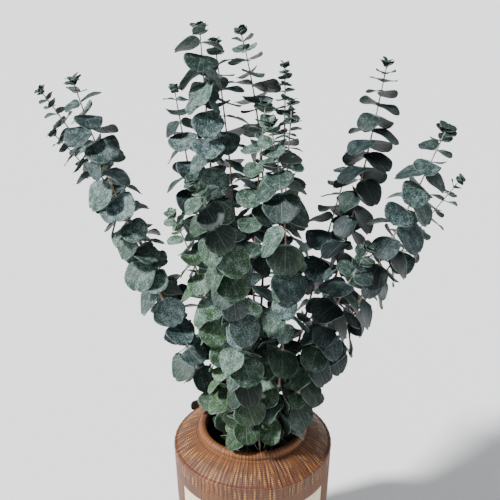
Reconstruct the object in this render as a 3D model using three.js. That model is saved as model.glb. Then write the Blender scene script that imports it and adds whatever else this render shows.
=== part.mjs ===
// Silver-leaved eucalyptus branches standing in a round stoneware vase.
// Millimetres, +Z up. The origin is the centre of the vase's flat underside.
//
// Each branch is one grown piece: a tapering stem with pairs of round, stalkless leaves, each pair a
// quarter turn from the pair below. The stems cross one another inside the vase and lean on its neck.
import * as THREE from "three";
import { mergeVertices } from "three/addons/utils/BufferGeometryUtils.js";

// ---------------------------------------------------------------- driving dimensions
const VASE = {
  height: 200, // underside to the top of the lip
  bodyR: 82, // at the shoulder
  baseR: 74,
  lipR: 56,
  mouthR: 47.5,
  wall: 6,
  floor: 8,
  collar: 8, // height of the upright ring under the lip
  shoulderDrop: 20, // lip to the shoulder's edge
};
const STEM = { footR: 1.8, tipR: 0.5, footZ: 12 };
const LEAF = {
  length: 31, // a full-grown one, from the stem to the leaf's far edge
  widthShare: 1.1,
  thickness: 1.1, // at the middle; the rim is sharp
  smallBelow: 15, // leaves shorter than this are drawn with fewer corners
};
const PAIR_STEP = 16.5; // the usual distance between grown pairs
const LOWEST_LEAF_Z = VASE.height - 12;

// Each branch: the four control points of its stem (cut end, two pulls, tip); then, as shares of the
// usual, the size of its leaves, how far the grown ones hang and how far apart its pairs are; and the
// length of young growth below its tip.
const BRANCHES = [
  {
    name: "front_centre", foot: [6, -26], low: [8, -35, 187], high: [54, -34, 361],
    tip: [14, -45, 533], leaf: 0.95, hang: 0.95, step: 0.82, young: 38,
  },
  {
    name: "front_left", foot: [5, -13], low: [-17, -35, 178], high: [11, -54, 356],
    tip: [-46, -115, 507], leaf: 0.84, hang: 0.85, step: 0.82, young: 26,
  },
  {
    name: "front_short_right", foot: [-22, 13], low: [20, -35, 146], high: [46, -22, 296],
    tip: [101, -60, 425], leaf: 0.88, hang: 0.7, step: 0.88, young: 40,
  },
  {
    name: "front_short_left", foot: [12, -14], low: [-19, -9, 150], high: [-16, -26, 319],
    tip: [-70, -50, 453], leaf: 0.76, hang: 0.6, step: 0.86, young: 34,
  },
  {
    name: "left_main", foot: [60, 13], low: [-31, 11, 194], high: [-108, -7, 373],
    tip: [-150, -25, 563], leaf: 0.88, hang: 0.6, step: 0.86, young: 26,
  },
  {
    name: "right_main", foot: [-31, 13], low: [25, -4, 186], high: [112, -9, 352],
    tip: [167, -20, 520], leaf: 0.95, hang: 0.6, step: 0.9, young: 32,
  },
  {
    name: "right_inner", foot: [-59, 17], low: [54, 15, 189], high: [88, 17, 361],
    tip: [121, 35, 565], leaf: 0.88, hang: 0.7, step: 0.8, young: 32,
  },
  {
    name: "top_left", foot: [-6, -48], low: [-25, 0, 209], high: [-35, 26, 401],
    tip: [-49, 70, 589], leaf: 0.93, hang: 0.85, step: 0.82, young: 10,
  },
  {
    name: "centre", foot: [28, -14], low: [-1, -2, 188], high: [-7, 18, 357],
    tip: [12, 30, 530], leaf: 0.84, hang: 0.8, step: 0.86, young: 48,
  },
  {
    name: "left_low", foot: [31, -9], low: [-43, 13, 178], high: [-66, 18, 380],
    tip: [-184, 25, 503], leaf: 0.78, hang: 0.6, step: 0.9, young: 45,
  },
  {
    name: "left_back", foot: [34, 5], low: [-25, 9, 195], high: [-88, 42, 377],
    tip: [-200, 60, 534], leaf: 0.78, hang: 0.6, step: 0.92, young: 50,
  },
  {
    name: "inner_left", foot: [45, 0], low: [-28, 36, 182], high: [-47, 55, 353],
    tip: [-77, 95, 527], leaf: 0.86, hang: 0.8, step: 0.86, young: 20,
  },
  {
    name: "top_centre", foot: [-16, -31], low: [-5, 6, 201], high: [-9, 57, 387],
    tip: [-37, 100, 571], leaf: 0.92, hang: 0.4, step: 0.92, young: 30,
  },
  {
    name: "back_tall", foot: [-25, -5], low: [-5, 26, 198], high: [39, 74, 395],
    tip: [-12, 120, 578], leaf: 0.98, hang: 0.2, step: 0.82, young: 32,
  },
  {
    name: "back_centre", foot: [5, 20], low: [0, 28, 189], high: [37, 62, 375],
    tip: [31, 95, 551], leaf: 0.68, hang: 0.2, step: 0.62, young: 50,
  },
  {
    name: "back_right", foot: [19, 18], low: [21, 23, 183], high: [27, 51, 350],
    tip: [38, 75, 519], leaf: 0.66, hang: 0.3, step: 0.68, young: 50,
  },
  {
    name: "right_back", foot: [-41, -35], low: [29, -17, 176], high: [54, 44, 327],
    tip: [98, 72, 466], leaf: 0.9, hang: 0.7, step: 0.88, young: 40,
  },
  {
    name: "right_low", foot: [-52, -23], low: [20, 16, 175], high: [91, 14, 319],
    tip: [197, 30, 456], leaf: 0.8, hang: 0.8, step: 0.92, young: 45,
  },
];

// A leaf that would run into a neighbour is turned aside: degrees of extra hang, degrees of swing
// round the stem, and a share of its size. It is left off if none of these is clear.
const TRIES = [
  [0, 0, 1], [14, 0, 1], [-14, 0, 1], [0, 18, 1], [0, -18, 1], [28, 0, 1], [-28, 0, 1],
  [14, 22, 0.9], [-14, -22, 0.9], [-14, 22, 0.9], [14, -22, 0.9], [42, 0, 0.9], [-42, 0, 0.9],
  [0, 0, 0.75], [28, 20, 0.75], [-28, 20, 0.75], [28, -20, 0.75], [-28, -20, 0.75],
  [0, 30, 0.62], [0, -30, 0.62], [30, 0, 0.62], [-30, 0, 0.62], [55, 0, 0.62], [-55, 0, 0.62],
  [25, 25, 0.5], [-25, 25, 0.5], [25, -25, 0.5], [-25, -25, 0.5], [0, 0, 0.45], [50, 0, 0.45],
];
// Least distances between sampled points of the leaves' sheets, the stems' axes and the vase.
const GAP = { leaf: 2.4, ownLeaf: 1.4, stem: 3.2, ownStem: 2.4, vase: 1.6 };
const SAMPLE_STEP = 1.6;
const STEM_CLEARANCE = 6; // a leaf's first millimetres are free to touch its own stem

const radians = THREE.MathUtils.degToRad;
const CLAY = new THREE.MeshStandardMaterial({ color: 0x8a5a34, roughness: 0.6, metalness: 0 });
const FOLIAGE = new THREE.MeshStandardMaterial({ color: 0x5f7f76, roughness: 0.75, metalness: 0 });

// ---------------------------------------------------------------- vase
// Half the vase's section, from the middle of the underside round the outside to the middle of the floor.
function vaseProfile() {
  const { height, bodyR, baseR, lipR, mouthR, wall, floor, collar, shoulderDrop } = VASE;
  const lipHalf = (lipR - mouthR) / 2;
  const lipArc = [0, 45, 90, 135, 180].map((a) => [
    mouthR + lipHalf + lipHalf * Math.cos(radians(a)),
    height - lipHalf + lipHalf * Math.sin(radians(a)),
  ]);
  const shoulderZ = height - shoulderDrop;
  return [
    [0, 0], [baseR - 3, 0], [baseR, 3], [bodyR - 1.5, shoulderZ - 60], [bodyR, shoulderZ - 12],
    [bodyR, shoulderZ - 2], [bodyR - 1.5, shoulderZ], [lipR + 3, height - collar],
    [lipR - 1, height - collar + 1], [lipR - 1, height - lipHalf - 1], ...lipArc,
    [mouthR, height - collar - 1], [bodyR - wall - 2, shoulderZ - wall],
    [bodyR - wall, shoulderZ - wall - 8], [baseR - wall, floor + 4], [baseR - wall - 4, floor], [0, floor],
  ];
}

function vaseGeometry() {
  const points = vaseProfile().map(([r, z]) => new THREE.Vector2(r, z));
  // LatheGeometry turns its profile round Y, so the vase is stood up afterwards.
  return new THREE.LatheGeometry(points, 36).rotateX(Math.PI / 2);
}

// How far a point is from the vase's surface line; inside the clay counts as zero.
function distanceToVase(point, profile) {
  const r = Math.hypot(point.x, point.y);
  let best = Infinity;
  let inside = false;
  profile.forEach(([r1, z1], i) => {
    const [r0, z0] = profile[(i || profile.length) - 1];
    const [wide, tall] = [r1 - r0, z1 - z0];
    const s = THREE.MathUtils.clamp(((r - r0) * wide + (point.z - z0) * tall) / (wide ** 2 + tall ** 2), 0, 1);
    best = Math.min(best, Math.hypot(r - r0 - s * wide, point.z - z0 - s * tall));
    const straddles = z0 > point.z !== z1 > point.z;
    if (straddles && r < r0 + ((point.z - z0) / tall) * wide) inside = !inside;
  });
  return inside ? 0 : best;
}

// ---------------------------------------------------------------- growth
// A repeatable number from 0 to 1 for one leaf, or for one pair when side is 0.
function chance(branch, pair, side, channel) {
  const wave = Math.sin(branch * 12.9898 + pair * 78.233 + side * 37.719 + channel * 93.989) * 43758.5453;
  return wave - Math.floor(wave);
}
const spread = (branch, pair, side, channel) => 2 * chance(branch, pair, side, channel) - 1;

function stemCurve({ foot, low, high, tip }) {
  return new THREE.CubicBezierCurve3(
    new THREE.Vector3(foot[0], foot[1], STEM.footZ),
    new THREE.Vector3(...low),
    new THREE.Vector3(...high),
    new THREE.Vector3(...tip),
  );
}

// The stem's direction at a share of its length, with two directions square to it.
function stemFrame(curve, share) {
  const along = curve.getTangentAt(share);
  const across = new THREE.Vector3(1, 0, 0).addScaledVector(along, -along.x).normalize();
  return { at: curve.getPointAt(share), along, across, away: new THREE.Vector3().crossVectors(along, across) };
}

const stemRadius = (share) => THREE.MathUtils.lerp(STEM.footR, STEM.tipR, share ** 1.4);

// The places of a branch's leaf pairs, from the tip down to the mouth, as shares of the stem's length.
function pairPlaces(index, branch, curve) {
  const length = curve.getLength();
  const places = [];
  let fromTip = 4;
  for (let pair = 0; ; pair++) {
    const share = 1 - fromTip / length;
    if (share < 0.05 || curve.getPointAt(share).z < LOWEST_LEAF_Z) return places;
    places.push({ pair, share, fromTip });
    const step = PAIR_STEP * branch.step * (1 - 0.6 * Math.exp((-1.2 * fromTip) / branch.young));
    fromTip += step * (1 + 0.14 * spread(index, pair, 0, 1));
  }
}

// The direction of a pair round its stem. It differs by a quarter turn from the pair below.
function pairTurn(index, pair) {
  return radians(360 * chance(index, 0, 0, 2) + 90 * pair + 14 * spread(index, pair, 0, 3));
}

// One leaf's place and size: where it leaves the stem, its three directions, its length and its curl.
function leafPose(index, branch, place, frame, side, [moreHang, swing, size]) {
  const { pair, share, fromTip } = place;
  const turn = pairTurn(index, pair) + radians(180 * side + swing);
  const out = frame.across.clone().multiplyScalar(Math.cos(turn)).addScaledVector(frame.away, Math.sin(turn));
  const grown = 1 - Math.exp(-((fromTip / branch.young) ** 1.25));
  const usual = LEAF.length * branch.leaf * size * (0.27 + 0.73 * grown);
  const length = usual * (1 + 0.13 * spread(index, pair, side, 4));
  // Young leaves clasp the tip, grown ones stand out and then hang.
  const hang = radians(-42 + (42 + 34 * branch.hang) * grown + 15 * spread(index, pair, side, 5) + moreHang);
  const tipwards = out.clone().multiplyScalar(Math.cos(hang)).addScaledVector(frame.along, -Math.sin(hang));
  tipwards.z -= 0.12 * grown;
  tipwards.normalize();
  const wide = new THREE.Vector3().crossVectors(frame.along, out);
  wide.applyAxisAngle(tipwards, radians(26) * spread(index, pair, side, 6));
  wide.addScaledVector(tipwards, -wide.dot(tipwards)).normalize();
  const face = new THREE.Vector3().crossVectors(tipwards, wide);
  const base = frame.at.clone().addScaledVector(out, stemRadius(share) * Math.SQRT1_2);
  const curl = 0.1 + 0.12 * chance(index, pair, side, 7);
  return { turn, out, base, tipwards, wide, face, length, curl };
}

// A point of the leaf's sheet: x runs from 0 at the stem to 1 at the point, y from -1 to 1 across it.
// The outline is a circle, drawn out a little towards the stem; the sheet bows back along its length.
function onLeaf(leaf, x, y) {
  const { base, tipwards, wide, face, length, curl } = leaf;
  const halfWidth = length * LEAF.widthShare * Math.sqrt(Math.max(0, x * (1 - x))) * (1.12 - 0.24 * x);
  return base.clone()
    .addScaledVector(tipwards, length * x)
    .addScaledVector(wide, halfWidth * y)
    .addScaledVector(face, -length * curl * x * x + length * 0.5 * curl * x * (1 - x) * y * y);
}

// Points over the whole sheet, close enough that two leaves can't cross between them.
function samples(leaf) {
  const rows = Math.max(4, Math.ceil(leaf.length / SAMPLE_STEP));
  const found = [];
  for (let i = 1; i <= rows; i++) {
    const x = i / rows;
    const across = Math.max(1, Math.ceil((leaf.length * 0.6 * Math.sqrt(4 * x * (1 - x))) / SAMPLE_STEP));
    for (let j = -across; j <= across; j++) {
      found.push({ reach: x * leaf.length, at: onLeaf(leaf, x, j / across) });
    }
  }
  return found;
}

// Everything placed so far, in a grid of cells so that near points are found quickly.
class Crowd {
  constructor() {
    this.cell = Math.max(...Object.values(GAP));
    this.cells = new Map();
  }
  cellsRound(p, reach) {
    const [cx, cy, cz] = [p.x, p.y, p.z].map((v) => Math.floor(v / this.cell) + 500);
    const keys = [];
    for (let x = cx - reach; x <= cx + reach; x++)
      for (let y = cy - reach; y <= cy + reach; y++)
        for (let z = cz - reach; z <= cz + reach; z++) keys.push((x * 1000 + y) * 1000 + z);
    return keys;
  }
  add(at, branch, pair) {
    const [key] = this.cellsRound(at, 0);
    if (!this.cells.has(key)) this.cells.set(key, []);
    this.cells.get(key).push({ at, branch, pair });
  }
  // Stems are added with no pair. The two leaves of one pair never meet, so they aren't compared.
  gap(near, branch, pair, reach) {
    const isStem = near.pair === null;
    if (near.branch !== branch) return isStem ? GAP.stem : GAP.leaf;
    if (isStem) return reach > STEM_CLEARANCE ? GAP.ownStem : 0;
    return near.pair === pair ? 0 : GAP.ownLeaf;
  }
  isClear(at, branch, pair, reach) {
    return this.cellsRound(at, 1).every((key) =>
      (this.cells.get(key) ?? []).every((near) => near.at.distanceTo(at) >= this.gap(near, branch, pair, reach)),
    );
  }
}

// Chooses every leaf of every branch: the first of the tries that is clear of the vase, of the other
// stems and of the leaves already placed.
function growLeaves(curves) {
  const crowd = new Crowd();
  const profile = vaseProfile();
  curves.forEach((curve, index) => {
    for (const at of curve.getSpacedPoints(Math.round(curve.getLength() / 1.5))) crowd.add(at, index, null);
  });
  return curves.map((curve, index) =>
    pairPlaces(index, BRANCHES[index], curve).map((place) => {
      const frame = stemFrame(curve, place.share);
      const leaves = [0, 1].map((side) => {
        for (const attempt of TRIES) {
          const leaf = leafPose(index, BRANCHES[index], place, frame, side, attempt);
          const points = samples(leaf);
          const clear = points.every(
            ({ reach, at }) =>
              crowd.isClear(at, index, place.pair, reach) && distanceToVase(at, profile) > GAP.vase,
          );
          if (!clear) continue;
          points.forEach(({ at }) => crowd.add(at, index, place.pair));
          return leaf;
        }
        return null;
      });
      return { ...place, leaves };
    }),
  );
}

// ---------------------------------------------------------------- branch solid
// A branch is one closed skin: a four-sided stem whose sides carry the leaves. At each pair the stem
// has a short band; a leaf grows from one side of the band, and a plain side is closed with a square.
function branchGeometry(curve, pairs) {
  const vertices = [];
  const faces = [];
  const vertex = (p) => vertices.push(p.x, p.y, p.z) / 3 - 1;
  const square = (a, b, c, d) => faces.push(a, b, c, a, c, d);

  // Four corners round the stem, between the directions in which its leaves leave.
  const ring = (share, turn, shift) => {
    const { at, along, across, away } = stemFrame(curve, share);
    return [45, 135, 225, 315].map((degrees) => {
      const angle = turn + radians(degrees);
      const corner = at.clone().addScaledVector(along, shift);
      corner.addScaledVector(across, stemRadius(share) * Math.cos(angle));
      return vertex(corner.addScaledVector(away, stemRadius(share) * Math.sin(angle)));
    });
  };
  const wall = (low, high, open = []) => {
    for (let side = 0; side < 4; side++) {
      if (open.includes(side)) continue;
      const before = (side + 3) % 4;
      square(low[before], low[side], high[side], high[before]);
    }
  };
  // side 0 of a ring faces the pair's turn, side 2 the other way.
  const leafSkin = (leaf, low, high, side) => {
    const before = (side + 3) % 4;
    const [bottomRight, bottomLeft, topRight, topLeft] = [low[before], low[side], high[before], high[side]];
    const corners = leaf.length < LEAF.smallBelow ? [75, 180, 285] : [52, 116, 180, 244, 308];
    const rim = corners.map((degrees) => {
      const x = 0.5 - 0.5 * Math.cos(radians(degrees));
      return vertex(onLeaf(leaf, x, degrees === 180 ? 0 : degrees < 180 ? 1 : -1));
    });
    // Both skins are fans over the same rim, from a middle point on the sheet and one above it.
    const thickness = LEAF.thickness * Math.min(1, leaf.length / 20);
    const middle = onLeaf(leaf, 0.5, 0);
    const under = vertex(middle);
    const crown = vertex(middle.clone().addScaledVector(leaf.face, thickness));
    const upper = [topLeft, ...rim, topRight];
    upper.forEach((corner, i) => faces.push(crown, upper[(i + 1) % upper.length], corner));
    const lower = [bottomLeft, ...rim, bottomRight];
    lower.forEach((corner, i) => faces.push(under, corner, lower[(i + 1) % lower.length]));
    faces.push(topLeft, rim[0], bottomLeft);
    faces.push(topRight, bottomRight, rim[rim.length - 1]);
  };

  const rings = [];
  const upwards = [...pairs].reverse(); // the pairs are listed from the tip down
  const bareRings = 5;
  for (let i = 0; i < bareRings; i++) {
    rings.push({ share: (upwards[0].share * i) / bareRings, turn: upwards[0].turn });
  }
  rings.push(...upwards);
  let below = null;
  for (const { share, turn, leaves } of rings) {
    const band = leaves ? 0.65 * Math.min(1, stemRadius(share)) : 0;
    const low = ring(share, turn, -band);
    if (below) wall(below, low);
    else square(low[3], low[2], low[1], low[0]);
    below = low;
    if (!leaves) continue;
    const high = ring(share, turn, band);
    const open = [];
    leaves.forEach((leaf, side) => {
      if (!leaf) return;
      leafSkin(leaf, low, high, 2 * side);
      open.push(2 * side);
    });
    wall(low, high, open);
    below = high;
  }
  const bud = vertex(stemFrame(curve, 1).at);
  for (let side = 0; side < 4; side++) faces.push(below[(side + 3) % 4], below[side], bud);

  const geometry = new THREE.BufferGeometry();
  geometry.setAttribute("position", new THREE.Float32BufferAttribute(vertices, 3));
  geometry.setIndex(faces);
  return geometry;
}

// ---------------------------------------------------------------- assembly
const arrangement = new THREE.Group();
const vase = new THREE.Mesh(mergeVertices(vaseGeometry().deleteAttribute("normal").deleteAttribute("uv")), CLAY);
vase.name = "vase";
arrangement.add(vase);

const curves = BRANCHES.map(stemCurve);
growLeaves(curves).forEach((pairs, index) => {
  // A ring's turn faces its pair, so that the leaves leave square to the stem's sides.
  const turned = pairs.map((place) => ({ ...place, turn: pairTurn(index, place.pair) }));
  const branch = new THREE.Mesh(branchGeometry(curves[index], turned), FOLIAGE);
  branch.name = `branch_${BRANCHES[index].name}`;
  arrangement.add(branch);
});

export default arrangement;
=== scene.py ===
import math

import bpy
import numpy as np
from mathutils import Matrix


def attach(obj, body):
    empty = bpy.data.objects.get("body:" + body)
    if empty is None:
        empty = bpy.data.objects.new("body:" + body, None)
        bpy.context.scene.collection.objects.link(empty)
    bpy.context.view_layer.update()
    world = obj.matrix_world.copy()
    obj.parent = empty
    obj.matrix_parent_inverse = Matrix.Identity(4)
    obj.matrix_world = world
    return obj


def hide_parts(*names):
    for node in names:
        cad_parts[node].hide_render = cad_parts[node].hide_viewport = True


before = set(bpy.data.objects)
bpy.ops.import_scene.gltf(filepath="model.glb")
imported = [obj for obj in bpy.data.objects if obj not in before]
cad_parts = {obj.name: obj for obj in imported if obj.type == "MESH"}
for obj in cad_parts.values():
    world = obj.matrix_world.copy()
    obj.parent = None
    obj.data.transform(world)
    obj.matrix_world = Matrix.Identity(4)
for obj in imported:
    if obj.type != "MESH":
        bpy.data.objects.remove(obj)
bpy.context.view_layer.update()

MM = 0.001

# ------------------------------------------------------------------ camera
# The bunch is seen from a little above, as it stands on a low table in front of a standing viewer.
CAMERA_PLACE = (0.0, -0.727, 0.728)
CAMERA_DOWN = 24.55  # degrees below the horizon
CAMERA_SENSOR = 36.0  # millimetres
CAMERA_LENS = 60.98  # millimetres
CAMERA_SHIFT = -0.0054  # share of the sensor's width
camera = bpy.data.objects.new("camera", bpy.data.cameras.new("camera"))
bpy.context.scene.collection.objects.link(camera)
camera.data.sensor_width = CAMERA_SENSOR
camera.data.lens = CAMERA_LENS
camera.data.shift_x = CAMERA_SHIFT
camera.location = CAMERA_PLACE
camera.rotation_euler = (math.radians(90 - CAMERA_DOWN), 0, 0)
bpy.context.scene.camera = camera


# ------------------------------------------------------------------ vase
# The vase is thrown stoneware: a rolled lip over a broad shoulder with a raised ring at its edge, and an
# upright body. The wet clay was combed downwards and ruled round, then stained brown and amber; the amber
# marks along the comb ridges are also painted highlight.
# The body carries shallow panels of cream slip. The inside is bare, dark clay.
VASE_HEIGHT = 200 * MM
BODY_R = 82 * MM
BASE_R = 74 * MM
LIP_R = 56 * MM
MOUTH_R = 47.5 * MM
WALL = 6 * MM
FLOOR = 8 * MM
SHOULDER_Z = 180 * MM
RING_Z = SHOULDER_Z - 1 * MM  # the raised ring at the shoulder's edge
LIP_FOOT_Z = 192 * MM
LIP_TUBE = (LIP_R - MOUTH_R) / 2
PANEL_TOP = 151 * MM
PANEL_FOOT = 62 * MM
PANELS = 5
PANEL_SHARE = 50 / 72  # of the way round that is panel, the rest being brown strip
PANEL_DEPTH = 0.7 * MM
PANEL_EDGE = 1.2 * MM
COMB_TEETH = 104
COMB_WAVES = ((61, 0, 1.3), (87, 40, 0), (44, -25, 0))  # round the vase, radians a metre up, start
COMB_DEPTH = 0.08 * MM
COMBED_FROM_R = 58 * MM  # the comb was set down just outside the lip
COMBED_FROM_Z = (163 * MM, 166 * MM)  # and its strokes fade out below the ring
RULED_STEP = 2.9 * MM
FINGER_STEP = 7 * MM
VASE_SIDES = 324
COMBED, CREAM, BARE = range(3)  # the vase's materials, in their order on the piece


def srgb(red, green, blue):
    """A colour as given, 0 to 255, turned into linear light."""
    parts = np.array([red, green, blue]) / 255
    return (*np.where(parts <= 0.04045, parts / 12.92, ((parts + 0.055) / 1.055) ** 2.4).tolist(), 1.0)


def wire(tree, kind, inputs=None, **properties):
    """Adds a shader node, sets its properties, and fills or links its inputs."""
    made = tree.nodes.new("ShaderNode" + kind)
    for name, value in properties.items():
        setattr(made, name, value)
    for name, value in (inputs or {}).items():
        if isinstance(value, bpy.types.NodeSocket):
            tree.links.new(value, made.inputs[name])
        else:
            made.inputs[name].default_value = value
    return made


def sums(tree, operation, a, b=0.0, clamp=False):
    """One Math node's result."""
    return wire(tree, "Math", {0: a, 1: b}, operation=operation, use_clamp=clamp).outputs[0]


def blend(tree, share, first, second):
    """A colour that goes from first to second as share goes from 0 to 1."""
    mix = wire(tree, "Mix", {0: share, 6: first, 7: second}, data_type="RGBA")
    return mix.outputs[2]


def step_between(tree, value, low, high):
    """0 below low, 1 above high, and a smooth rise between."""
    ranged = wire(tree, "MapRange", {0: value, 1: low, 2: high}, interpolation_type="SMOOTHSTEP")
    return ranged.outputs[0]


def new_material(name):
    """A material with only its Principled shader; returns the material, its tree and the shader."""
    material = bpy.data.materials.new(name)
    material.use_nodes = True
    tree = material.node_tree
    return material, tree, tree.nodes["Principled BSDF"]


def relief(tree, height, distance, strength=1.0):
    """A Bump node that reads a height from 0 to 1 as that many metres."""
    return wire(tree, "Bump", {"Height": height, "Distance": distance, "Strength": strength}).outputs[0]


def new_piece(name, vertices, faces, materials, material_of_face=None):
    """A smooth-shaded mesh object at the origin, in the collection."""
    mesh = bpy.data.meshes.new(name)
    mesh.from_pydata(vertices.tolist(), [], faces)
    for material in materials:
        mesh.materials.append(material)
    if material_of_face is not None:
        mesh.polygons.foreach_set("material_index", material_of_face)
    mesh.shade_smooth()
    mesh.update()
    piece = bpy.data.objects.new(name, mesh)
    bpy.context.scene.collection.objects.link(piece)
    return piece


def make_speckle_group():
    """Powder or grain: coarse noise sets where it lies thick, fine noise breaks it into specks.
    Mask is the coarse share times the fine noise past a threshold."""
    tree = bpy.data.node_groups.new("speckle", "ShaderNodeTree")
    for name, kind, value in (
        ("Vector", "NodeSocketVector", None),
        ("Speck Scale", "NodeSocketFloat", 900.0),
        ("Patch Scale", "NodeSocketFloat", 60.0),
        ("Amount", "NodeSocketFloat", 0.5),
    ):
        socket = tree.interface.new_socket(name, in_out="INPUT", socket_type=kind)
        if value is not None:
            socket.default_value = value
    tree.interface.new_socket("Mask", in_out="OUTPUT", socket_type="NodeSocketFloat")
    tree.interface.new_socket("Grain", in_out="OUTPUT", socket_type="NodeSocketFloat")
    given = tree.nodes.new("NodeGroupInput").outputs
    fine = wire(tree, "TexNoise", {"Vector": given[0], "Scale": given[1], "Detail": 3.0, "Roughness": 0.7})
    coarse = wire(tree, "TexNoise", {"Vector": given[0], "Scale": given[2], "Detail": 2.0})
    thick = sums(tree, "MULTIPLY", sums(tree, "SUBTRACT", coarse.outputs[0], 0.5), 0.45)
    level = sums(tree, "SUBTRACT", 0.62, sums(tree, "MULTIPLY", given[3], 0.24))
    above = sums(tree, "SUBTRACT", sums(tree, "ADD", fine.outputs[0], thick), level)
    specks = step_between(tree, above, 0.0, 0.14)
    out = tree.nodes.new("NodeGroupOutput")
    tree.links.new(specks, out.inputs[0])
    tree.links.new(fine.outputs[0], out.inputs[1])
    return tree


speckle = make_speckle_group()


def add_speckle(tree, vector, speck_scale, patch_scale, amount):
    """Places the speckle group and returns its two outputs."""
    group = tree.nodes.new("ShaderNodeGroup")
    group.node_tree = speckle
    tree.links.new(vector, group.inputs[0])
    for index, value in ((1, speck_scale), (2, patch_scale), (3, amount)):
        if isinstance(value, bpy.types.NodeSocket):
            tree.links.new(value, group.inputs[index])
        else:
            group.inputs[index].default_value = value
    return group.outputs[0], group.outputs[1]


def rounded(points, radius, steps=4):
    """The polyline with each inner corner replaced by a quadratic curve that starts radius before it."""
    path = [points[0]]
    for before, corner, after in zip(points, points[1:], points[2:]):
        to_before, to_after = before - corner, after - corner
        reach = min(radius, np.linalg.norm(to_before) / 2.1, np.linalg.norm(to_after) / 2.1)
        start = corner + to_before / np.linalg.norm(to_before) * reach
        end = corner + to_after / np.linalg.norm(to_after) * reach
        for share in np.linspace(0, 1, steps):
            path.append((1 - share) ** 2 * start + 2 * share * (1 - share) * corner + share**2 * end)
    return np.array([*path, points[-1]])


def refined(path, longest):
    """The path with points added so that no step is longer than given."""
    rows = [path[:1]]
    for start, end in zip(path, path[1:]):
        count = max(1, math.ceil(np.linalg.norm(end - start) / longest))
        rows.append(start + (end - start) * (np.arange(1, count + 1) / count)[:, None])
    return np.concatenate(rows)


def vase_profile():
    """Radius and height from the middle of the underside, round the outside and lip, to the middle of
    the inside floor."""
    outside = [
        (0, 0), (BASE_R - 1.5 * MM, 0), (BASE_R + 0.4 * MM, 4 * MM),
        (BODY_R - 1.5 * MM, SHOULDER_Z - 60 * MM), (BODY_R - 0.3 * MM, SHOULDER_Z - 14 * MM),
        (BODY_R - 0.3 * MM, RING_Z - 2.6 * MM), (BODY_R + 0.2 * MM, RING_Z - 2 * MM),
        (BODY_R + 0.1 * MM, RING_Z), (BODY_R - 1.6 * MM, RING_Z + 1.2 * MM),
        (BODY_R - 2.6 * MM, RING_Z + 0.9 * MM), (BODY_R - 12 * MM, SHOULDER_Z + 7 * MM),
        (LIP_R + 3.2 * MM, LIP_FOOT_Z), (LIP_R + 1 * MM, LIP_FOOT_Z + 0.4 * MM),
        (LIP_R - 0.9 * MM, LIP_FOOT_Z + 1.6 * MM),
    ]
    turn = np.radians(np.linspace(-20, 180, 15))
    lip = np.stack([
        MOUTH_R + LIP_TUBE + LIP_TUBE * np.cos(turn),
        VASE_HEIGHT - LIP_TUBE + LIP_TUBE * np.sin(turn),
    ], axis=1)
    inside = [
        (MOUTH_R, LIP_FOOT_Z - 1 * MM), (BODY_R - WALL - 2 * MM, SHOULDER_Z - WALL),
        (BODY_R - WALL, SHOULDER_Z - WALL - 8 * MM), (BASE_R - WALL, FLOOR + 4 * MM),
        (BASE_R - WALL - 4 * MM, FLOOR), (0, FLOOR),
    ]
    outer = rounded(np.array(outside), 1.6 * MM)
    inner = rounded(np.array([lip[-1], *inside]), 4 * MM)[1:]
    return refined(np.concatenate([outer, lip, inner]), 2.4 * MM)


def ramp(value, start, over):
    """0 up to start, then an even rise to 1 over that distance."""
    return np.clip((value - start) / over, 0, 1)


def vase_surface(profile):
    """Every profile point carried round the axis. The shoulder's skin rises and falls by a quarter of a
    millimetre where it was combed: a sum of three sine waves round the vase. Panels are sunk."""
    angle = np.arange(VASE_SIDES) / VASE_SIDES * 2 * math.pi
    radius, height = profile[:, :1], profile[:, 1:]
    outside = np.arange(len(profile))[:, None] < np.argmax(profile[:, 1])
    comb = sum(np.sin(waves * angle + slant * height + start) for waves, slant, start in COMB_WAVES)
    combed = outside * ramp(height, PANEL_TOP, 4 * MM) * ramp(radius, COMBED_FROM_R, 4 * MM)
    sector = (angle / (2 * math.pi) * PANELS + 0.25) % 1
    across = np.clip((PANEL_SHARE / 2 - np.abs(sector - 0.5)) * 60, 0, 1)
    upright = ramp(-height, -PANEL_TOP, PANEL_EDGE) * ramp(height, PANEL_FOOT, PANEL_EDGE)
    panel = outside * across * upright
    pushed = radius + combed * comb * COMB_DEPTH - panel * PANEL_DEPTH
    rings = np.stack([pushed * np.cos(angle), pushed * np.sin(angle), height + 0 * angle], axis=2)
    return rings, panel


def lathe_faces(rows, sides):
    """Quads between neighbouring rows of points, closed round the axis."""
    low = (np.arange(rows - 1)[:, None] * sides + np.arange(sides)).ravel()
    after = (np.arange(rows - 1)[:, None] * sides + (np.arange(sides) + 1) % sides).ravel()
    return np.stack([low, after, after + sides, low + sides], axis=1)


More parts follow.
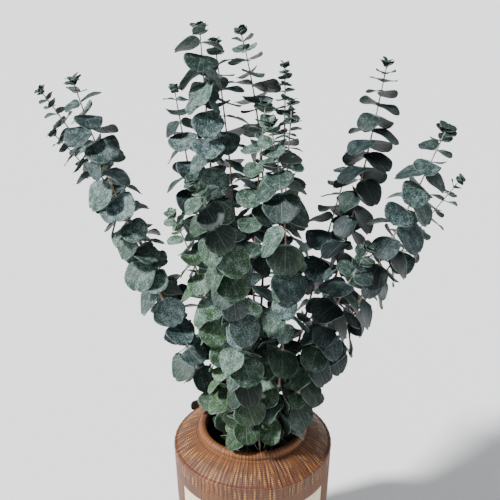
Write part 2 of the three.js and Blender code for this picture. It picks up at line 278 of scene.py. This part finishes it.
def make_vase():
    """The turned clay as one closed mesh, its underside and floor closed with fans at the axis."""
    profile = vase_profile()
    rings, panel = vase_surface(profile[1:-1])
    rows = len(rings)
    quads = lathe_faces(rows, VASE_SIDES)
    under, floor = rows * VASE_SIDES, rows * VASE_SIDES + 1
    first, last = np.arange(VASE_SIDES), np.arange(VASE_SIDES) + (rows - 1) * VASE_SIDES
    fans = [(under, b, a) for a, b in zip(first, np.roll(first, -1))]
    fans += [(floor, a, b) for a, b in zip(last, np.roll(last, -1))]
    vertices = np.concatenate([rings.reshape(-1, 3), [[0, 0, 0], [0, 0, FLOOR]]])
    row_of_quad = np.arange(len(quads)) // VASE_SIDES
    glazed_to = np.argmax(profile[:, 1]) + 4  # the glaze ends a few rows inside the lip
    kinds = np.where(row_of_quad > glazed_to, BARE, COMBED)
    kinds[panel.ravel()[quads].mean(axis=1) > 0.5] = CREAM
    kinds = np.concatenate([kinds, np.full(VASE_SIDES, COMBED), np.full(VASE_SIDES, BARE)])
    faces = quads.tolist() + [tuple(int(v) for v in fan) for fan in fans]
    return vertices, faces, kinds.astype(np.int32)


def clay_coordinates(tree):
    """Object coordinates, the radius and height there, and the sine and cosine of the way round."""
    place = wire(tree, "TexCoord").outputs["Object"]
    split = wire(tree, "SeparateXYZ", {0: place})
    level = wire(tree, "CombineXYZ", {0: split.outputs[0], 1: split.outputs[1], 2: 0.0}).outputs[0]
    radius = wire(tree, "VectorMath", {0: level}, operation="LENGTH").outputs["Value"]
    outwards = wire(tree, "VectorMath", {0: level}, operation="NORMALIZE").outputs[0]
    around = wire(tree, "SeparateXYZ", {0: outwards})
    return place, radius, split.outputs[2], around.outputs[1], around.outputs[0]


def make_combed_clay():
    """Brown clay with downward comb strokes, some left dark and some amber with painted highlight, crossed
    by fine turned lines. Run is how far a point lies up the skin: height less radius on the shoulder and
    body."""
    material, tree, shader = new_material("combed_clay")
    place, radius, height, sine, cosine = clay_coordinates(tree)
    run = sums(tree, "SUBTRACT", height, radius)

    def times(value, share):
        """The product of two values."""
        return sums(tree, "MULTIPLY", value, share)

    def line(value, slope, start):
        """The start plus the slope times the value."""
        return sums(tree, "ADD", times(value, slope), start)

    def strokes(per_turn, per_metre, detail=3.0):
        """Noise stretched down the skin: fine round the vase, long along run."""
        parts = {0: times(cosine, per_turn), 1: times(sine, per_turn), 2: times(run, per_metre)}
        stretched = wire(tree, "CombineXYZ", parts).outputs[0]
        return wire(tree, "TexNoise", {"Vector": stretched, "Scale": 1.0, "Detail": detail}).outputs[0]

    on_lip = step_between(tree, height, LIP_FOOT_Z, LIP_FOOT_Z + 2 * MM)
    in_band = sums(tree, "SUBTRACT", step_between(tree, height, *COMBED_FROM_Z), on_lip)
    outer_shoulder = step_between(tree, radius, COMBED_FROM_R, COMBED_FROM_R + 13 * MM)
    angle = sums(tree, "ARCTAN2", sine, cosine)
    wander = times(strokes(9.0, 22.0, 2.0), 9.0)
    teeth = sums(tree, "SINE", line(angle, float(COMB_TEETH), wander))
    pressed = step_between(tree, strokes(30.0, 26.0), 0.38, 0.58)
    grooves = times(step_between(tree, teeth, -0.1, -0.8), pressed)
    dark_strokes = sums(tree, "MAXIMUM", grooves, step_between(tree, strokes(52.0, 24.0), 0.55, 0.68))
    # The amber marks on the ridges between the grooves are amber colour and painted highlight together.
    amber_and_highlight_patches = step_between(tree, strokes(20.0, 55.0), 0.44, 0.62)
    amber_and_highlight_strokes = times(step_between(tree, teeth, -0.1, 0.8), amber_and_highlight_patches)
    turned = sums(tree, "SINE", times(run, 2 * math.pi / RULED_STEP))
    turned_lines = step_between(tree, turned, 0.1, 0.85)
    amber_and_highlight_dashes = times(amber_and_highlight_strokes, line(turned_lines, -0.85, 1.0))
    _, grain = add_speckle(tree, place, 1100.0, 45.0, 0.55)
    base = blend(tree, grain, srgb(88, 50, 22), srgb(130, 80, 38))
    cloud = wire(tree, "TexNoise", {"Vector": place, "Scale": 24.0, "Detail": 3.0}).outputs[0]
    base = blend(tree, step_between(tree, cloud, 0.35, 0.7), base, srgb(92, 56, 38))
    strength = times(line(outer_shoulder, 0.6, 0.3), in_band)
    ticks = times(step_between(tree, teeth, 0.0, 0.7), on_lip)
    ring_foot = step_between(tree, height, RING_Z - 3 * MM, RING_Z - 2 * MM)
    ring_top = step_between(tree, height, RING_Z + 2.5 * MM, RING_Z + 1 * MM)
    coloured = base
    for share, stain in (
        (times(dark_strokes, times(strength, 0.8)), srgb(44, 22, 22)),
        (times(amber_and_highlight_dashes, times(strength, 0.85)), srgb(214, 152, 74)),
        (times(turned_lines, line(outer_shoulder, 0.3, 0.12)), srgb(50, 26, 24)),
        (times(ticks, 0.35), srgb(176, 112, 60)),
        (times(times(ring_foot, ring_top), 0.45), srgb(96, 52, 34)),
    ):
        coloured = blend(tree, share, coloured, stain)
    tree.links.new(coloured, shader.inputs["Base Color"])
    tree.links.new(line(grain, 0.25, 0.4), shader.inputs["Roughness"])
    lines = line(dark_strokes, -0.6, times(turned_lines, -0.25))
    height_map = line(grain, 0.25, line(amber_and_highlight_dashes, 0.5, lines))
    tree.links.new(relief(tree, height_map, 0.5 * MM), shader.inputs["Normal"])
    shader.inputs["Specular IOR Level"].default_value = 0.45
    return material


def make_cream_slip():
    """Cream slip, a little crazed and stained in its pits."""
    material, tree, shader = new_material("cream_slip")
    place = wire(tree, "TexCoord").outputs["Object"]
    stain, grain = add_speckle(tree, place, 700.0, 60.0, 0.35)
    cloud = wire(tree, "TexNoise", {"Vector": place, "Scale": 55.0, "Detail": 4.0}).outputs[0]
    cream = blend(tree, step_between(tree, cloud, 0.3, 0.75), srgb(236, 226, 196), srgb(212, 192, 150))
    cream = blend(tree, sums(tree, "MULTIPLY", stain, 0.5), cream, srgb(168, 128, 84))
    tree.links.new(cream, shader.inputs["Base Color"])
    tree.links.new(sums(tree, "ADD", 0.38, sums(tree, "MULTIPLY", grain, 0.2)), shader.inputs["Roughness"])
    tree.links.new(relief(tree, grain, 0.25 * MM), shader.inputs["Normal"])
    return material


def make_bare_clay():
    """The unglazed inside: dark, rough clay with the potter's finger rings."""
    material, tree, shader = new_material("bare_clay")
    place, _, height, *_ = clay_coordinates(tree)
    _, grain = add_speckle(tree, place, 500.0, 40.0, 0.5)
    rings = sums(tree, "SINE", sums(tree, "MULTIPLY", height, 2 * math.pi / FINGER_STEP))
    colour = blend(tree, grain, srgb(42, 28, 20), srgb(84, 56, 38))
    tree.links.new(colour, shader.inputs["Base Color"])
    shader.inputs["Roughness"].default_value = 0.85
    tree.links.new(relief(tree, sums(tree, "ADD", rings, grain), 0.4 * MM), shader.inputs["Normal"])
    return material


vase_vertices, vase_faces, vase_kinds = make_vase()
clays = [make_combed_clay(), make_cream_slip(), make_bare_clay()]
vase = new_piece("vase_body", vase_vertices, vase_faces, clays, vase_kinds)
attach(vase, "root")
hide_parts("vase")

# ------------------------------------------------------------------ how the branches grow
# Each branch was cut from a young silver-leaved gum: a thin red-brown stem with round leaves in
# pairs, without stalks, each pair a quarter turn from the one below. The stems stand loose in the
# vase, cross inside it and lean on its neck.
# Each branch has its stem's four control points in millimetres (cut end, two pulls, tip) and, as
# shares of the usual, the size of its leaves, how far they hang and how far apart the pairs are; then
# the millimetres of young growth below its tip.
STEM_FOOT_R = 1.8 * MM
STEM_TIP_R = 0.5 * MM
STEM_FOOT_Z = 12
LEAF_LENGTH = 31 * MM
LEAF_WIDTH_SHARE = 1.1
PAIR_STEP = 16.5 * MM
LOWEST_LEAF_Z = VASE_HEIGHT - 12 * MM
BRANCHES = {
    "front_centre": ((6, -26), (8, -35, 187), (54, -34, 361), (14, -45, 533), 0.95, 0.95, 0.82, 38),
    "front_left": ((5, -13), (-17, -35, 178), (11, -54, 356), (-46, -115, 507), 0.84, 0.85, 0.82, 26),
    "front_short_right": ((-22, 13), (20, -35, 146), (46, -22, 296), (101, -60, 425), 0.88, 0.7, 0.88, 40),
    "front_short_left": ((12, -14), (-19, -9, 150), (-16, -26, 319), (-70, -50, 453), 0.76, 0.6, 0.86, 34),
    "left_main": ((60, 13), (-31, 11, 194), (-108, -7, 373), (-150, -25, 563), 0.88, 0.6, 0.86, 26),
    "right_main": ((-31, 13), (25, -4, 186), (112, -9, 352), (167, -20, 520), 0.95, 0.6, 0.9, 32),
    "right_inner": ((-59, 17), (54, 15, 189), (88, 17, 361), (121, 35, 565), 0.88, 0.7, 0.8, 32),
    "top_left": ((-6, -48), (-25, 0, 209), (-35, 26, 401), (-49, 70, 589), 0.93, 0.85, 0.82, 10),
    "centre": ((28, -14), (-1, -2, 188), (-7, 18, 357), (12, 30, 530), 0.84, 0.8, 0.86, 48),
    "left_low": ((31, -9), (-43, 13, 178), (-66, 18, 380), (-184, 25, 503), 0.78, 0.6, 0.9, 45),
    "left_back": ((34, 5), (-25, 9, 195), (-88, 42, 377), (-200, 60, 534), 0.78, 0.6, 0.92, 50),
    "inner_left": ((45, 0), (-28, 36, 182), (-47, 55, 353), (-77, 95, 527), 0.86, 0.8, 0.86, 20),
    "top_centre": ((-16, -31), (-5, 6, 201), (-9, 57, 387), (-37, 100, 571), 0.92, 0.4, 0.92, 30),
    "back_tall": ((-25, -5), (-5, 26, 198), (39, 74, 395), (-12, 120, 578), 0.98, 0.2, 0.82, 32),
    "back_centre": ((5, 20), (0, 28, 189), (37, 62, 375), (31, 95, 551), 0.68, 0.2, 0.62, 50),
    "back_right": ((19, 18), (21, 23, 183), (27, 51, 350), (38, 75, 519), 0.66, 0.3, 0.68, 50),
    "right_back": ((-41, -35), (29, -17, 176), (54, 44, 327), (98, 72, 466), 0.9, 0.7, 0.88, 40),
    "right_low": ((-52, -23), (20, 16, 175), (91, 14, 319), (197, 30, 456), 0.8, 0.8, 0.92, 45),
}
# The ways a crowded leaf may have been turned: degrees of extra hang, degrees of swing, share of size.
TRIES = np.array([
    [0, 0, 1], [14, 0, 1], [-14, 0, 1], [0, 18, 1], [0, -18, 1], [28, 0, 1], [-28, 0, 1],
    [14, 22, 0.9], [-14, -22, 0.9], [-14, 22, 0.9], [14, -22, 0.9], [42, 0, 0.9], [-42, 0, 0.9],
    [0, 0, 0.75], [28, 20, 0.75], [-28, 20, 0.75], [28, -20, 0.75], [-28, -20, 0.75],
    [0, 30, 0.62], [0, -30, 0.62], [30, 0, 0.62], [-30, 0, 0.62], [55, 0, 0.62], [-55, 0, 0.62],
    [25, 25, 0.5], [-25, 25, 0.5], [25, -25, 0.5], [-25, -25, 0.5], [0, 0, 0.45], [50, 0, 0.45],
])
FOUND_WITHIN = 0.12 * MM


def chance(branch, pair, side, channel):
    """A repeatable number from 0 to 1: the fraction left of a large multiple of a sine."""
    wave = np.sin(branch * 12.9898 + pair * 78.233 + side * 37.719 + channel * 93.989) * 43758.5453
    return wave - np.floor(wave)


def spread(branch, pair, side, channel):
    """A repeatable number from -1 to 1."""
    return 2 * chance(branch, pair, side, channel) - 1


def unit(vectors):
    """Vectors along the last axis, at length 1."""
    return vectors / np.linalg.norm(vectors, axis=-1, keepdims=True)


class Stem:
    """A cubic curve measured along its length by 200 chords."""

    def __init__(self, foot, low, high, tip):
        self.controls = np.array([(*foot, STEM_FOOT_Z), low, high, tip]) * MM
        self.steps = np.linspace(0, 1, 201)
        chords = np.linalg.norm(np.diff(self.on_curve(self.steps), axis=0), axis=1)
        self.reached = np.concatenate([[0], np.cumsum(chords)])
        self.length = self.reached[-1]

    def on_curve(self, t):
        """The cubic's point at parameter t."""
        a, b, c, d = self.controls
        t = np.asarray(t)[..., None]
        return (1 - t) ** 3 * a + 3 * t * (1 - t) ** 2 * b + 3 * t**2 * (1 - t) * c + t**3 * d

    def parameter(self, share):
        """The parameter at a share of the length."""
        return np.interp(np.asarray(share) * self.length, self.reached, self.steps)

    def at(self, share):
        """The point at a share of the length."""
        return self.on_curve(self.parameter(share))

    def frame(self, share):
        """The direction of growth there and two directions square to it."""
        a, b, c, d = self.controls
        t = self.parameter(share)[..., None]
        along = unit((1 - t) ** 2 * (b - a) + 2 * t * (1 - t) * (c - b) + t**2 * (d - c))
        across = unit(np.array([1, 0, 0]) - along[..., :1] * along)
        return along, across, np.cross(along, across)


def stem_radius(share):
    """From the foot's radius to the tip's, by a power of the share of the length."""
    return STEM_FOOT_R + (STEM_TIP_R - STEM_FOOT_R) * share**1.4


def pair_places(index, stem, step_share, young):
    """Each leaf pair's distance from the tip, down to the mouth. Pairs stand closer in young growth."""
    found = []
    from_tip = 4 * MM
    while True:
        share = 1 - from_tip / stem.length
        if share < 0.05 or stem.at(share)[2] < LOWEST_LEAF_Z:
            return np.array(found)
        found.append(from_tip)
        step = PAIR_STEP * step_share * (1 - 0.6 * math.exp(-1.2 * from_tip / young))
        from_tip += step * (1 + 0.14 * spread(index, len(found) - 1, 0, 1))


def leaf_poses(index, stem, from_tip, tries, size_share, hang_share, young):
    """Every leaf's place, directions, length and curl, for each of the ways it may be turned.
    The arrays run over pairs, the two sides, and the tries."""
    pair = np.arange(len(from_tip))[:, None, None]
    side = np.arange(2)[None, :, None]
    more_hang, swing, size = (tries[:, k][None, None, :] for k in range(3))
    share = (1 - from_tip / stem.length)[:, None, None]
    along, across, away = (v[:, 0, 0][:, None, None] for v in stem.frame(share))
    turn = np.radians(360 * chance(index, 0, 0, 2) + 90 * pair + 180 * side + swing)
    turn = (turn + np.radians(14) * spread(index, pair, 0, 3))[..., None]
    out = across * np.cos(turn) + away * np.sin(turn)
    grown = 1 - np.exp(-((from_tip / young) ** 1.25))[:, None, None]
    length = LEAF_LENGTH * size_share * size * (0.27 + 0.73 * grown)
    length = length * (1 + 0.13 * spread(index, pair, side, 4))
    hang = -42 + (42 + 34 * hang_share) * grown + 15 * spread(index, pair, side, 5) + more_hang
    hang = np.radians(hang)[..., None]
    tipwards = out * np.cos(hang) - along * np.sin(hang)
    tipwards = unit(tipwards - np.array([0, 0, 0.12]) * grown[..., None])
    wide = np.cross(along, out)
    twist = np.radians(26) * spread(index, pair, side, 6)[..., None]
    wide = (
        wide * np.cos(twist) + np.cross(tipwards, wide) * np.sin(twist)
        + tipwards * (tipwards * wide).sum(-1, keepdims=True) * (1 - np.cos(twist))
    )
    wide = unit(wide - tipwards * (wide * tipwards).sum(-1, keepdims=True))
    base = stem.at(share)[:, 0, 0][:, None, None] + out * stem_radius(share)[..., None] * math.sqrt(0.5)
    curl = 0.1 + 0.12 * chance(index, pair, side, 7) + 0 * size
    shape = out.shape
    return {
        "base": base, "tipwards": tipwards, "wide": np.broadcast_to(wide, shape),
        "face": np.cross(tipwards, wide), "length": np.broadcast_to(length, shape[:-1]), "curl": curl,
        "grown": np.broadcast_to(grown, shape[:-1]),
    }


def kept_leaves(node, poses):
    """Picks, for each leaf, the pose whose far point is a corner of the branch's frame solid. A leaf
    with none was left off, because it had no room."""
    corners = np.array([v.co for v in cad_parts[node].data.vertices])
    reach = poses["length"][..., None]
    far = poses["base"] + poses["tipwards"] * reach - poses["face"] * reach * poses["curl"][..., None]
    near = np.stack([
        np.linalg.norm(far[k][..., None, :] - corners, axis=-1).min(axis=-1) for k in range(len(far))
    ])
    picked = near.argmin(axis=-1)
    pair, side = np.nonzero(near.min(axis=-1) < FOUND_WITHIN)
    leaves = {name: values[pair, side, picked[pair, side]] for name, values in poses.items()}
    return leaves, pair, side


# ------------------------------------------------------------------ leaves
# A leaf is a thin, stiff, round blade, a little wider than long, cupped and bent back towards its
# point. Its skin is blue-grey with a dusty wax bloom that rubs off in specks; the rim and the veins
# are paler, and the underside is duller and greener.
# Leaves that face away from the light are given painted shade: their skin is darkened towards near-black.
LEAF_ROWS = 10
LEAF_COLUMNS = 6
LEAF_THICKNESS = 0.45 * MM
BUDS = np.array([0.4, 1.5, 2.7]) * MM  # from the tip: the closed pairs of the growing point
# How green and how pale each branch is, from 0 to 1. Being pale means bloom and painted light together:
# the right-hand branches, away from the light, are the least pale.
TINTS = {
    "front_centre": (0.35, 0.55), "front_left": (0.4, 0.4), "front_short_right": (0.15, 0.3),
    "front_short_left": (0.95, 0.85), "left_main": (0.15, 0.6), "right_main": (0.0, 0.35),
    "right_inner": (0.05, 0.15), "top_left": (0.15, 0.65), "centre": (0.3, 0.6), "left_low": (0.15, 0.55),
    "left_back": (0.35, 0.35), "inner_left": (0.2, 0.55), "top_centre": (0.05, 0.6),
    "back_tall": (0.05, 0.6), "back_centre": (0.0, 0.6), "back_right": (0.0, 0.5),
    "right_back": (0.0, 0.15), "right_low": (0.05, 0.35),
}


def leaf_template():
    """A blade's own coordinates: x from 0 at the stem to 1 at the point, y from -1 to 1 across, with
    single points at both ends; and the faces between them."""
    x = 0.5 - 0.5 * np.cos(np.arange(1, LEAF_ROWS) / LEAF_ROWS * math.pi)
    y = np.sin(np.linspace(-1, 1, LEAF_COLUMNS + 1) * math.pi / 2)
    grid = np.stack(np.meshgrid(x, y, indexing="ij"), axis=2).reshape(-1, 2)
    across = LEAF_COLUMNS + 1
    faces = []
    for row in range(LEAF_ROWS - 2):
        for column in range(LEAF_COLUMNS):
            low = row * across + column
            faces.append((low, low + across, low + across + 1, low + 1))
    base, point = len(grid), len(grid) + 1
    last = (LEAF_ROWS - 2) * across
    for column in range(LEAF_COLUMNS):
        faces.append((base, column, column + 1))
        faces.append((point, last + column + 1, last + column))
    return np.concatenate([grid, [[0, 0], [1, 0]]]), faces


def leaf_surfaces(leaves, index, pair, side, x, y):
    """Blades as curved sheets. Half the width is the square root of x(1 - x), fuller near the stem.
    Height off the flat sheet is the bend back, x squared, less a cup, x(1 - x) y squared, with a
    crease along the midrib and a slow ripple in the rim."""
    length, curl = leaves["length"][:, None], leaves["curl"][:, None]
    ripple = chance(index, pair, side, 9)[:, None]
    notch = 0.05 * np.exp(-((x - 1) ** 2) / 0.01) * np.exp(-(y**2) / 0.1)
    half = length * LEAF_WIDTH_SHARE * np.sqrt(x * (1 - x)) * (1.12 - 0.24 * x)
    half = half * (1 + 0.05 * np.sin(7 * x + 12 * ripple))
    rise = -curl * x**2 + 0.9 * curl * x * (1 - x) * y**2 + 0.035 * np.abs(y) * np.sin(math.pi * x)
    rise = rise + (0.04 + 0.05 * ripple) * y * np.abs(y) * np.sin(5 * x + 9 * ripple) * np.sin(math.pi * x)
    offsets = (
        leaves["tipwards"][:, None] * (length * (x - notch))[..., None]
        + leaves["wide"][:, None] * (half * y)[..., None]
        + leaves["face"][:, None] * (length * rise)[..., None]
    )
    return leaves["base"][:, None] + offsets


def make_leaf_skin(name, silver, green, young, bloom_colour, bloom_share, dark):
    """Leaf skin from the silver to the green colour by the attribute green, darkened towards the dark
    colour as painted shade where the attribute pale is low, a little darker in random patches, paler where
    bloom lies, along the midrib and side veins, and in a thin rim."""
    material, tree, shader = new_material(name)
    place = wire(tree, "TexCoord").outputs["Object"]
    uv = wire(tree, "SeparateXYZ", {0: wire(tree, "UVMap", uv_map="blade").outputs[0]})
    x = uv.outputs[0]
    y = sums(tree, "ABSOLUTE", sums(tree, "SUBTRACT", sums(tree, "MULTIPLY", uv.outputs[1], 2.0), 1.0))
    greenness = wire(tree, "Attribute", attribute_name="green").outputs["Fac"]
    light_and_bloom = wire(tree, "Attribute", attribute_name="pale").outputs["Fac"]
    age = wire(tree, "Attribute", attribute_name="grown").outputs["Fac"]
    skin = blend(tree, greenness, silver, green)
    skin = blend(tree, sums(tree, "MULTIPLY", sums(tree, "SUBTRACT", 1.0, age), 0.5), skin, young)
    # Painted shade: the less pale a leaf, the more its skin goes towards the near-black dark colour.
    shade = sums(tree, "SUBTRACT", 0.85, light_and_bloom, clamp=True)
    skin = blend(tree, shade, skin, dark)
    patchy = {"Vector": place, "Scale": 130.0, "Detail": 5.0, "Roughness": 0.7}
    patches = wire(tree, "TexNoise", patchy).outputs[0]
    # Darker in random patches, towards the same near-black as the painted shade.
    dark_patches = step_between(tree, patches, 0.4, 0.66)
    skin = blend(tree, sums(tree, "MULTIPLY", dark_patches, 0.3), skin, dark)
    midrib = step_between(tree, y, 0.04, 0.01)
    roundness = sums(tree, "SQRT", sums(tree, "MULTIPLY", x, sums(tree, "SUBTRACT", 1.0, x)))
    lateral = sums(tree, "MULTIPLY", y, roundness)
    fan = sums(tree, "ARCTAN2", lateral, sums(tree, "ADD", x, 0.06))
    bent = sums(tree, "ADD", sums(tree, "MULTIPLY", fan, 30.0), sums(tree, "MULTIPLY", patches, 4.0))
    side_veins = step_between(tree, sums(tree, "SINE", bent), 0.8, 0.99)
    faint_veins = sums(tree, "MULTIPLY", side_veins, 0.32)
    veins = sums(tree, "MAXIMUM", sums(tree, "MULTIPLY", midrib, 0.8), faint_veins)
    rim = step_between(tree, y, 0.94, 0.995)
    # Bloom lies thicker and shows stronger on paler leaves, so it follows the painted light as well as the
    # wax.
    amount = sums(tree, "ADD", sums(tree, "MULTIPLY", light_and_bloom, 0.55), bloom_share)
    bloom, grain = add_speckle(tree, place, 1000.0, 170.0, amount)
    dusted = sums(tree, "ADD", 0.12, sums(tree, "MULTIPLY", light_and_bloom, 0.5))
    skin = blend(tree, sums(tree, "MULTIPLY", bloom, dusted), skin, bloom_colour)
    skin = blend(tree, sums(tree, "MULTIPLY", veins, 0.2), skin, bloom_colour)
    skin = blend(tree, sums(tree, "MULTIPLY", rim, 0.22), skin, bloom_colour)
    at_stem = step_between(tree, x, 0.1, 0.0)
    skin = blend(tree, sums(tree, "MULTIPLY", at_stem, 0.6), skin, bloom_colour)
    tree.links.new(skin, shader.inputs["Base Color"])
    tree.links.new(sums(tree, "ADD", 0.48, sums(tree, "MULTIPLY", bloom, 0.3)), shader.inputs["Roughness"])
    shader.inputs["Specular IOR Level"].default_value = 0.32
    raised = sums(tree, "ADD", sums(tree, "MULTIPLY", veins, 0.3), sums(tree, "MULTIPLY", grain, 0.3))
    raised = sums(tree, "ADD", raised, sums(tree, "MULTIPLY", patches, 1.6))
    tree.links.new(relief(tree, raised, 0.5 * MM), shader.inputs["Normal"])
    return material


# dark is the near-black painted shade that leaves away from the light are darkened towards.
leaf_top = make_leaf_skin(
    "leaf_top", silver=srgb(42, 62, 64), green=srgb(46, 82, 26), young=srgb(54, 78, 58),
    bloom_colour=srgb(158, 180, 176), bloom_share=0.2, dark=srgb(6, 12, 16),
)
leaf_under = make_leaf_skin(
    "leaf_under", silver=srgb(46, 62, 60), green=srgb(54, 80, 36), young=srgb(62, 80, 60),
    bloom_colour=srgb(118, 138, 132), bloom_share=0.1, dark=srgb(12, 20, 22),
)
blade, blade_faces = leaf_template()


def add_buds(index, stem, leaves, pair, side, facts):
    """The kept leaves with the small closed pairs of the growing point added."""
    poses = leaf_poses(index, stem, BUDS, TRIES[:1], *facts)
    added = {name: values[:, :, 0].reshape(-1, *values.shape[3:]) for name, values in poses.items()}
    both = {name: np.concatenate([leaves[name], added[name]]) for name in leaves}
    bud_pair, bud_side = np.meshgrid(np.arange(len(BUDS)) + 200, np.arange(2), indexing="ij")
    return both, np.concatenate([pair, bud_pair.ravel()]), np.concatenate([side, bud_side.ravel()])


def make_leaves(name, index, leaves, pair, side):
    """All of a branch's leaves as one mesh of sheets, given thickness with the underside's own skin."""
    x, y = blade[None, :, 0], blade[None, :, 1]
    surfaces = leaf_surfaces(leaves, index, pair, side, x, y)
    count = len(surfaces)
    starts = np.arange(count) * len(blade)
    faces = [tuple(int(start + corner) for corner in face) for start in starts for face in blade_faces]
    piece = new_piece("leaves_" + name, surfaces.reshape(-1, 3), faces, [leaf_top, leaf_under])
    mesh = piece.data
    # Low leaves are greener and less pale, painted shade low in the bunch; how pale each leaf is also
    # wanders at random, painted light and shade from leaf to leaf.
    lowness = np.clip((0.34 - leaves["base"][:, 2]) / 0.14, 0, 1)
    green_share, light_and_bloom_share = TINTS[name]
    green = np.clip(green_share + 0.55 * lowness + 0.3 * spread(index, pair, side, 8), 0, 1)
    pale = np.clip(light_and_bloom_share - 0.1 * lowness + 0.38 * spread(index, pair, side, 10), 0, 1)
    per_leaf = {"green": green, "pale": pale, "grown": leaves["grown"]}
    for attribute, values in per_leaf.items():
        layer = mesh.attributes.new(attribute, "FLOAT", "POINT")
        layer.data.foreach_set("value", np.repeat(values, len(blade)).astype(np.float32))
    corners = np.zeros(len(mesh.loops), np.int32)
    mesh.loops.foreach_get("vertex_index", corners)
    uv = np.stack([blade[:, 0], 0.5 + 0.5 * blade[:, 1]], axis=1)[corners % len(blade)]
    mesh.uv_layers.new(name="blade").data.foreach_set("uv", uv.ravel().astype(np.float32))
    thick = piece.modifiers.new("thickness", "SOLIDIFY")
    thick.thickness = LEAF_THICKNESS
    thick.offset = 0
    thick.material_offset = 1
    return piece


# ------------------------------------------------------------------ stems
# The stem is woody and red-brown, greener and mealy near its tip, with a small swelling and a pale
# ring at each pair of leaves. Its lower end is cut square.
STEM_SIDES = 8
STEM_STEP = 3 * MM


def stem_surface(stem, from_tip):
    """Rings round the curve. The radius tapers and swells by a bell curve at each pair; rings come
    closer together at the pairs."""
    plain = np.arange(0, stem.length - 2 * MM, STEM_STEP)
    at_pairs = (stem.length - from_tip)[:, None] + np.array([-1.1, 0, 1.1]) * MM
    run = np.unique(np.concatenate([plain, at_pairs.ravel(), [stem.length]]).clip(0, stem.length))
    share = run / stem.length
    nearest = np.abs(run[:, None] - (stem.length - from_tip)).min(axis=1)
    knot = np.exp(-((nearest / (1.2 * MM)) ** 2))
    radius = stem_radius(share) * (1 + 0.42 * knot)
    radius[-1] = 0.2 * MM
    along, across, away = stem.frame(share)
    angle = np.arange(STEM_SIDES) / STEM_SIDES * 2 * math.pi
    around = across[:, None] * np.cos(angle)[:, None] + away[:, None] * np.sin(angle)[:, None]
    rings = stem.at(share)[:, None] + around * radius[:, None, None]
    return rings, share, knot


def make_bark():
    """Young bark: brown low down, redder above and green-grey at the tip, dusted with bloom, with pale
    rings where the leaves join."""
    material, tree, shader = new_material("young_bark")
    place = wire(tree, "TexCoord").outputs["Object"]
    share = wire(tree, "Attribute", attribute_name="share").outputs["Fac"]
    knot = wire(tree, "Attribute", attribute_name="knot").outputs["Fac"]
    tan = wire(tree, "Attribute", attribute_name="tan").outputs["Fac"]
    colour = blend(tree, step_between(tree, share, 0.3, 0.7), srgb(88, 62, 46), srgb(120, 78, 62))
    colour = blend(tree, step_between(tree, share, 0.8, 0.97), colour, srgb(112, 122, 98))
    colour = blend(tree, tan, colour, srgb(160, 124, 78))
    bloom, grain = add_speckle(tree, place, 1500.0, 90.0, 0.6)
    colour = blend(tree, sums(tree, "MULTIPLY", bloom, 0.35), colour, srgb(176, 170, 160))
    colour = blend(tree, sums(tree, "MULTIPLY", knot, 0.55), colour, srgb(200, 202, 190))
    tree.links.new(colour, shader.inputs["Base Color"])
    shader.inputs["Roughness"].default_value = 0.6
    tree.links.new(relief(tree, grain, 0.2 * MM), shader.inputs["Normal"])
    return material


bark = make_bark()
TAN_STEMS = ("right_main", "left_main")


def make_stem(name, stem, from_tip):
    """One stem, closed at its cut end and its tip."""
    rings, share, knot = stem_surface(stem, from_tip)
    rows = len(rings)
    faces = lathe_faces(rows, STEM_SIDES).tolist()
    faces.append(list(range(STEM_SIDES))[::-1])
    faces.append(list(range((rows - 1) * STEM_SIDES, rows * STEM_SIDES)))
    piece = new_piece("stem_" + name, rings.reshape(-1, 3), faces, [bark])
    tan = np.full(rows, 0.55 if name in TAN_STEMS else 0.0)
    for attribute, values in {"share": share, "knot": knot, "tan": tan}.items():
        layer = piece.data.attributes.new(attribute, "FLOAT", "POINT")
        layer.data.foreach_set("value", np.repeat(values, STEM_SIDES).astype(np.float32))
    return piece


for index, (name, facts) in enumerate(BRANCHES.items()):
    foot, low, high, tip, size_share, hang_share, step_share, young = facts
    stem = Stem(foot, low, high, tip)
    from_tip = pair_places(index, stem, step_share, young * MM)
    poses = leaf_poses(index, stem, from_tip, TRIES, size_share, hang_share, young * MM)
    leaves, pair, side = kept_leaves("branch_" + name, poses)
    leaves, pair, side = add_buds(index, stem, leaves, pair, side, (size_share, hang_share, young * MM))
    for piece, slot in (
        (make_leaves(name, index, leaves, pair, side), "leaf"),
        (make_stem(name, stem, from_tip), "stem"),
    ):
        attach(piece, "root")
        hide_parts("branch_" + name)

# ------------------------------------------------------------------ floor and light
# A plain pale floor under soft daylight: one broad light from the left and above, as from a window,
# and an even sky that fills the shade.
FLOOR_REACH = 7.0
floor_corners = np.array([(-1, -1, 0), (1, -1, 0), (1, 1, 0), (-1, 1, 0)]) * FLOOR_REACH
floor_paint, _, floor_shader = new_material("floor_paint")
floor_shader.inputs["Base Color"].default_value = (0.95, 0.95, 0.95, 1)
floor_shader.inputs["Roughness"].default_value = 0.9
floor = new_piece("floor", floor_corners, [(0, 1, 2, 3)], [floor_paint])

window = bpy.data.objects.new("window_light", bpy.data.lights.new("window_light", "SUN"))
window.data.energy = 7.5
window.data.angle = math.radians(7)  # how wide the light is, seen from the vase
window.rotation_euler = (math.radians(48), 0, math.radians(-68))  # down from overhead, then round
bpy.context.scene.collection.objects.link(window)
sky = bpy.data.worlds.new("sky")
bpy.context.scene.world = sky
sky.use_nodes = True
sky_shader = sky.node_tree.nodes["Background"]
sky_shader.inputs["Color"].default_value = (0.93, 0.96, 1.0, 1)
sky_shader.inputs["Strength"].default_value = 0.5
